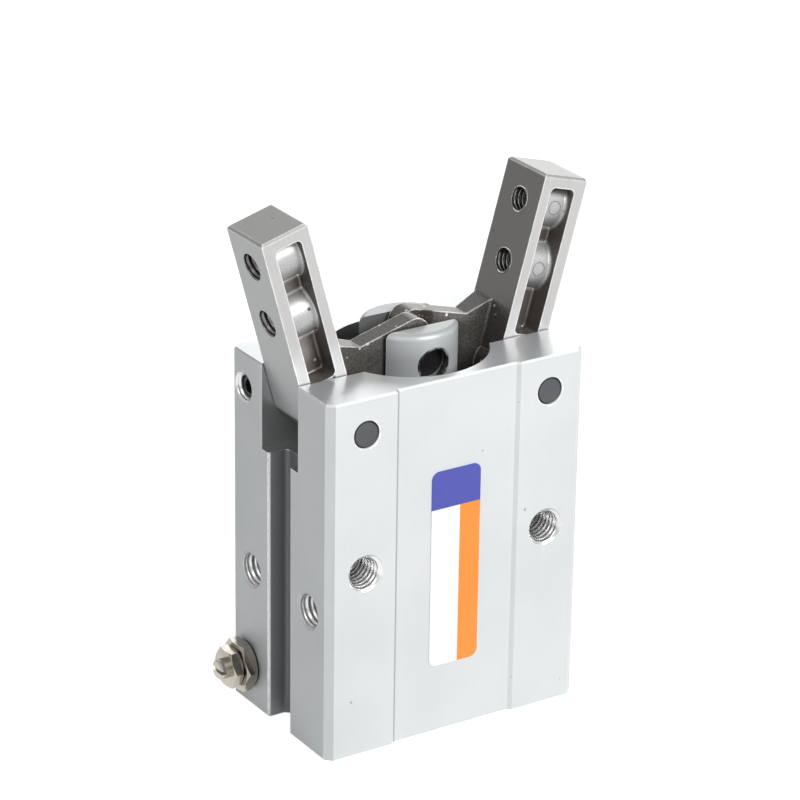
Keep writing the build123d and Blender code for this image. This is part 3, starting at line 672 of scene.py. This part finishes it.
ringLook = dict(plainLook, colorLow=grey(0.08), colorHigh=grey(0.14), metallic=0.9, roughness=0.3)
turnedLook = dict(plainLook, colorLow=(0.55, 0.55, 0.56, 1.0), colorHigh=(0.62, 0.62, 0.63, 1.0),
                  edgeColor=grey(0.85), dirtColor=grey(0.2), metallic=0.9, roughness=0.3)
rubberLook = dict(plainLook, colorLow=grey(0.012), colorHigh=grey(0.02), edgeColor=grey(0.05),
                  metallic=0.0, roughness=0.6, bump=0.02 * mm)
threadLook = dict(plainLook, colorLow=grey(0.6), colorHigh=grey(0.72), edgeColor=grey(0.9),
                  dirtColor=grey(0.2), metallic=0.9, roughness=0.25)
leverThreadLook = dict(threadLook, colorLow=grey(0.12, 0.02), colorHigh=grey(0.2, 0.02))


# Printed label: a dark block on top, a pale and an orange column below

def makeLabelFilm(name, look):
    material, tree, shader = startMaterial(name)
    point = objectPoint(tree)
    parts = splitPoint(tree, point)
    blockFrom = labelHigh.z - look["blockShare"] * (labelHigh.z - labelLow.z)
    columnFrom = labelLow.x + look["paleShare"] * (labelHigh.x - labelLow.x)
    block = calc(tree, "GREATER_THAN", parts["Z"], blockFrom)
    column = calc(tree, "GREATER_THAN", parts["X"], columnFrom)
    grain, cloud = grainMasks(tree, point, look["grainSize"])
    ink = layColors(tree, look["pale"], (
        (column, look["orange"]), (block, look["block"]), (both(tree, cloud, look["fading"]), look["pale"]),
    ))
    rough = spreadRoughness(tree, look["roughness"], grain, look["roughSpread"])
    normal = bumpNormal(tree, grain, look)
    setInputs(tree, shader, {"Base Color": ink, "Roughness": rough, "Normal": normal})
    return material


labelLook = {
    "blockShare": 0.191, "paleShare": 0.583, "fading": 0.06,
    "pale": (0.85, 0.85, 0.87, 1.0), "orange": (0.84, 0.25, 0.008, 1.0), "block": (0.04, 0.05, 0.36, 1.0),
    "roughness": 0.37, "roughSpread": 0.1,
    "grainSize": 3000.0, "bump": 0.004 * mm, "bumpStrength": 0.3,
}

finishes = {
    "body": makeBodyMetal("anodisedBody", bodyLook),
    "piston_rod": makeRodMetal("anodisedRod", rodLook),
    "left_finger": makeLeverSteel("leftLeverSteel", -1, leverLook),
    "right_finger": makeLeverSteel("rightLeverSteel", 1, leverLook),
    "label": makeLabelFilm("labelFilm", labelLook),
}
plainFinishes = {
    "turnedCap": (turnedLook, ("end_cap",)),
    "turnedHead": (turnedLook, ("piston_head",)),
    "crossPinSteel": (crossPinLook, ("cross_pin",)),
    "magnetFerrite": (magnetLook, ("piston_magnet",)),
    "boltSteel": (screwLook, ("piston_bolt",)),
    "ringSteel": (ringLook, ("retaining_ring",)),
    "pinSteel": (pinLook, ("left_pivot_pin", "right_pivot_pin")),
    "screwSteel": (screwLook, ("left_set_screw", "right_set_screw")),
    "sealRubber": (rubberLook, ("cap_seal", "rod_seal", "piston_seal", "needle_gasket")),
    "platedBrass": (nickelLook, ("needle_housing", "needle_lock_nut", "throttle_needle")),
}
for name, (look, wearers) in plainFinishes.items():
    finish = makePlainFinish(name, look)
    for wearer in wearers:
        finishes[wearer] = finish
threadMetal = makePlainFinish("threadMetal", threadLook)
leverThreadMetal = makePlainFinish("leverThreadMetal", leverThreadLook)
for name, finish in finishes.items():
    mesh = nodes[name].data
    mesh.materials.clear()
    mesh.materials.append(finish)
print("finishes set on", len(finishes), "nodes")


# Thread ridges: one Geometry Nodes tree wraps a grid into a helical ridge
ridgePlan = {"stepsPerTurn": 40.0, "pointsAcross": 5, "crestFlat": 1.35, "mergeGap": 0.004 * mm}


def makeThreadTree(plan):
    sizes = ("Wall Radius", "Ridge Height", "Pitch", "Length", "Mouth Chamfer", "Lead In")
    inputs = dict({label: "Float" for label in sizes}, Material="Material")
    tree, inside, outside = newGroup("threadRidge", inputs, {"Geometry": "Geometry"}, "GeometryNodeTree")
    turns = calc(tree, "CEIL", calc(tree, "DIVIDE", inside["Length"], inside["Pitch"]))
    turns = calc(tree, "ADD", turns, 1.0)
    rows = calc(tree, "MULTIPLY_ADD", turns, plan["stepsPerTurn"], 1.0)
    grid = addNode(tree, "GeometryNodeMeshGrid", {
        "Size X": 1.0, "Size Y": 1.0, "Vertices X": plan["pointsAcross"], "Vertices Y": rows,
    })
    place = splitPoint(tree, tree.nodes.new("GeometryNodeInputPosition").outputs[0])
    # Across and along run from 0 to 1 over the grid, which is 1 by 1 about its middle
    across = calc(tree, "ADD", place["X"], 0.5)
    along = calc(tree, "ADD", place["Y"], 0.5)
    turned = calc(tree, "MULTIPLY", along, turns)
    angle = calc(tree, "MULTIPLY", turned, 2 * math.pi)
    # Across one pitch the ridge rises to a flat crest and falls again
    rise = invert(tree, calc(tree, "ABSOLUTE", calc(tree, "MULTIPLY_ADD", across, 2.0, -1.0)))
    crest = calc(tree, "MULTIPLY", rise, plan["crestFlat"], clamp=True)
    depth = calc(tree, "ADD", turned, calc(tree, "SUBTRACT", across, 1.0))
    depth = calc(tree, "MAXIMUM", calc(tree, "MULTIPLY", depth, inside["Pitch"]), 0.0)
    depth = calc(tree, "MINIMUM", depth, inside["Length"])
    # It starts from nothing over the lead in, and follows the wall out into the chamfer
    lead = calc(tree, "DIVIDE", depth, inside["Lead In"], clamp=True)
    drop = both(tree, both(tree, crest, inside["Ridge Height"]), lead)
    flare = calc(tree, "MAXIMUM", calc(tree, "SUBTRACT", inside["Mouth Chamfer"], depth), 0.0)
    radius = calc(tree, "SUBTRACT", calc(tree, "ADD", inside["Wall Radius"], flare), drop)
    wrapped = addNode(tree, "ShaderNodeCombineXYZ", {
        "X": calc(tree, "MULTIPLY", radius, calc(tree, "COSINE", angle)),
        "Y": calc(tree, "MULTIPLY", radius, calc(tree, "SINE", angle)),
        "Z": calc(tree, "MULTIPLY", depth, -1.0),
    })
    values = {"Geometry": grid.outputs["Mesh"], "Position": wrapped.outputs[0]}
    move = addNode(tree, "GeometryNodeSetPosition", values)
    values = {"Geometry": move.outputs[0], "Distance": plan["mergeGap"]}
    merge = addNode(tree, "GeometryNodeMergeByDistance", values)
    realize = addNode(tree, "GeometryNodeRealizeInstances", {"Geometry": merge.outputs[0]})
    values = {"Geometry": realize.outputs[0], "Material": inside["Material"]}
    paint = addNode(tree, "GeometryNodeSetMaterial", values)
    link(tree, paint.outputs[0], outside["Geometry"])
    return tree


threadTree = makeThreadTree(ridgePlan)


def fromTree(tree, values):
    # Runs a Geometry Nodes tree on an empty mesh and keeps the plain mesh it makes
    holder = bpy.data.objects.new("holder", bpy.data.meshes.new("holder"))
    bpy.context.scene.collection.objects.link(holder)
    modifier = holder.modifiers.new("tree", "NODES")
    modifier.node_group = tree
    for item in tree.interface.items_tree:
        if item.item_type == "SOCKET" and item.in_out == "INPUT" and item.name in values:
            modifier[item.identifier] = values[item.name]
    graph = bpy.context.evaluated_depsgraph_get()
    mesh = bpy.data.meshes.new_from_object(holder.evaluated_get(graph))
    mesh.materials.pop(index=0)  # the holder's empty slot, which comes before the tree's material
    holder.modifiers.remove(modifier)
    bpy.data.objects.remove(holder)
    return mesh


def holePlace(mouth, outward):
    # Puts a thread, drawn down along -Z, into a hole with this mouth and outward axis
    turn = Vector(outward).to_track_quat("Z", "Y").to_matrix().to_4x4()
    return Matrix.Translation(Vector(mouth)) @ turn


threadSizes = {
    "M5": {"Wall Radius": 2.51 * mm, "Ridge Height": 0.4 * mm, "Pitch": 0.8 * mm, "Lead In": 0.5 * mm},
    "M4": {"Wall Radius": 2.01 * mm, "Ridge Height": 0.35 * mm, "Pitch": 0.7 * mm, "Lead In": 0.4 * mm},
}


def makeThread(size, mouth, outward, length, material, flare=0.0):
    values = dict(threadSizes[size], Length=length, Material=material)
    values["Mouth Chamfer"] = flare
    mesh = fromTree(threadTree, values)
    mesh.transform(holePlace(mouth, outward))
    return mesh


def addThreads(name, meshes, body):
    joined = bpy.data.meshes.new(name)
    gathered = bmesh.new()
    for mesh in meshes:
        gathered.from_mesh(mesh)
    gathered.to_mesh(joined)
    gathered.free()
    for material in meshes[0].materials:
        joined.materials.append(material)
    joined.shade_smooth()
    piece = bpy.data.objects.new(name, joined)
    bpy.context.scene.collection.objects.link(piece)
    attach(piece, body)


threadPlan = {
    "mouthChamfer": 0.3 * mm, "mountDepth": 5.7 * mm, "baseDepth": 5.6 * mm, "screwHoleDepth": 2.6 * mm,
    "portRecess": 0.7 * mm, "portDepth": 4.6 * mm,
}


def makeBodyThreads(plan):
    threads = []
    flare = plan["mouthChamfer"]
    front = mounts["front_threads"]
    mountX = front["dims"]["spacing_x_mm"] * mm / 2
    baseX = mounts["base_threads"]["dims"]["spacing_x_mm"] * mm / 2
    for side in (-1, 1):
        for x in (-mountX, mountX):
            mouth = (x, side * halfDepth, front["pos_m"][2])
            threads.append(makeThread("M5", mouth, (0, side, 0), plan["mountDepth"], threadMetal, flare))
        mouth = (side * baseX, 0, 0)
        threads.append(makeThread("M4", mouth, (0, 0, -1), plan["baseDepth"], threadMetal, flare))
        mouth = (side * halfWidth, halfDepth - screwInset, pivotHeight)
        threads.append(makeThread("M4", mouth, (side, 0, 0), plan["screwHoleDepth"], threadMetal, flare))
    # The ports have a plain recess before the thread
    length = plan["portDepth"] - plan["portRecess"]
    for port in portNames:
        place = mounts[port]["pos_m"]
        mouth = (-halfWidth + plan["portRecess"], place[1], place[2])
        threads.append(makeThread("M5", mouth, (-1, 0, 0), length, threadMetal))
    addThreads("body_threads", threads, "housing")


def makeFingerThreads(side):
    threads = []
    for level in ("upper", "lower"):
        hole = mounts[side + "_" + level + "_tool_thread"]
        axis = Vector(hole["axis"])
        length = hole["dims"]["length_mm"] * mm
        mouth = Vector(hole["pos_m"]) + axis * length / 2
        threads.append(makeThread("M4", mouth, axis, length, leverThreadMetal))
    addThreads(side + "_finger_threads", threads, side + "_lever")


makeBodyThreads(threadPlan)
makeFingerThreads("left")
makeFingerThreads("right")
print("threads made")


# Floor, light and camera

def seenDirectly(tree):  # 1 for camera, mirror and glass rays
    path = tree.nodes.new("ShaderNodeLightPath")
    seen = either(tree, path.outputs["Is Camera Ray"], path.outputs["Is Glossy Ray"])
    return either(tree, seen, path.outputs["Is Transmission Ray"])


floorLook = {"size": 6.0, "color": grey(0.55), "roughness": 0.9, "glow": 0.86}


def makeFloor(look):
    mesh = bpy.data.meshes.new("floor")
    sheet = bmesh.new()
    bmesh.ops.create_grid(sheet, x_segments=1, y_segments=1, size=look["size"] / 2)
    sheet.to_mesh(mesh)
    sheet.free()
    floor = bpy.data.objects.new("floor", mesh)
    bpy.context.scene.collection.objects.link(floor)
    material, tree, shader = startMaterial("floorPaper")
    # Lifted to white where it is looked at or mirrored, without lighting anything
    glow = both(tree, seenDirectly(tree), look["glow"])
    setInputs(tree, shader, {
        "Base Color": look["color"], "Roughness": look["roughness"], "Specular IOR Level": 0.0,
        "Emission Color": grey(1.0), "Emission Strength": glow,
    })
    mesh.materials.append(material)


makeFloor(floorLook)

lightPlan = {
    "key": {"place": (0.22, -0.62, 0.5), "size": 0.45, "power": 6.7},
    "fill": {"place": (-0.3, -0.2, 0.35), "size": 0.3, "power": 0.47},
    "back": {"place": (0.5, 0.65, 0.3), "size": 0.4, "power": 0.9},
}
lampTarget = Vector((0.0, 0.0, 0.035))
for name, plan in lightPlan.items():
    data = bpy.data.lights.new(name, "AREA")
    data.energy = plan["power"]
    data.size = plan["size"]
    lamp = bpy.data.objects.new(name, data)
    bpy.context.scene.collection.objects.link(lamp)
    lamp.location = plan["place"]
    lamp.rotation_mode = "QUATERNION"
    lamp.rotation_quaternion = (Vector(plan["place"]) - lampTarget).to_track_quat("Z", "Y")

worldLook = {"background": 1.0, "ambient": 0.25}


def makeWorld(look):
    world = bpy.data.worlds.new("studio")
    bpy.context.scene.world = world
    world.use_nodes = True
    tree = world.node_tree
    tree.nodes.clear()
    strength = blendValue(tree, seenDirectly(tree), look["ambient"], look["background"])
    background = addNode(tree, "ShaderNodeBackground", {"Strength": strength})
    addNode(tree, "ShaderNodeOutputWorld", {"Surface": background.outputs[0]})


makeWorld(worldLook)

# Camera fitted to the photograph
cameraPlan = {
    "azimuth": -32.239, "elevation": 23.907, "roll": 0.579,
    "distance": 524.087 * mm, "aimX": -6.265 * mm, "aimY": 32.489 * mm,
    "focalPixels": 3600.642, "centerX": 359.706, "centerY": 467.391, "image": 800.0, "sensor": 36.0,
    "clipStart": 0.01, "clipEnd": 20.0,
}


def makeCamera(plan):
    azimuth = math.radians(plan["azimuth"])
    elevation = math.radians(plan["elevation"])
    roll = math.radians(plan["roll"])
    back = Vector((math.sin(azimuth) * math.cos(elevation), -math.cos(azimuth) * math.cos(elevation),
                   math.sin(elevation)))
    level = Vector((math.cos(azimuth), math.sin(azimuth), 0.0))
    upright = back.cross(level)
    right = level * math.cos(roll) + upright * math.sin(roll)
    up = upright * math.cos(roll) - level * math.sin(roll)
    data = bpy.data.cameras.new("camera")
    data.sensor_width = plan["sensor"]
    data.lens = plan["focalPixels"] / plan["image"] * plan["sensor"]
    data.shift_x = (plan["image"] / 2 - plan["centerX"]) / plan["image"]
    data.shift_y = (plan["centerY"] - plan["image"] / 2) / plan["image"]
    data.clip_start = plan["clipStart"]
    data.clip_end = plan["clipEnd"]
    camera = bpy.data.objects.new("camera", data)
    bpy.context.scene.collection.objects.link(camera)
    place = right * plan["aimX"] + up * plan["aimY"] + back * plan["distance"]
    turn = Matrix((right, up, back)).transposed().to_4x4()
    camera.matrix_world = Matrix.Translation(place) @ turn
    bpy.context.scene.camera = camera


makeCamera(cameraPlan)
bpy.context.scene.view_settings.view_transform = "Standard"

print("scene ready")
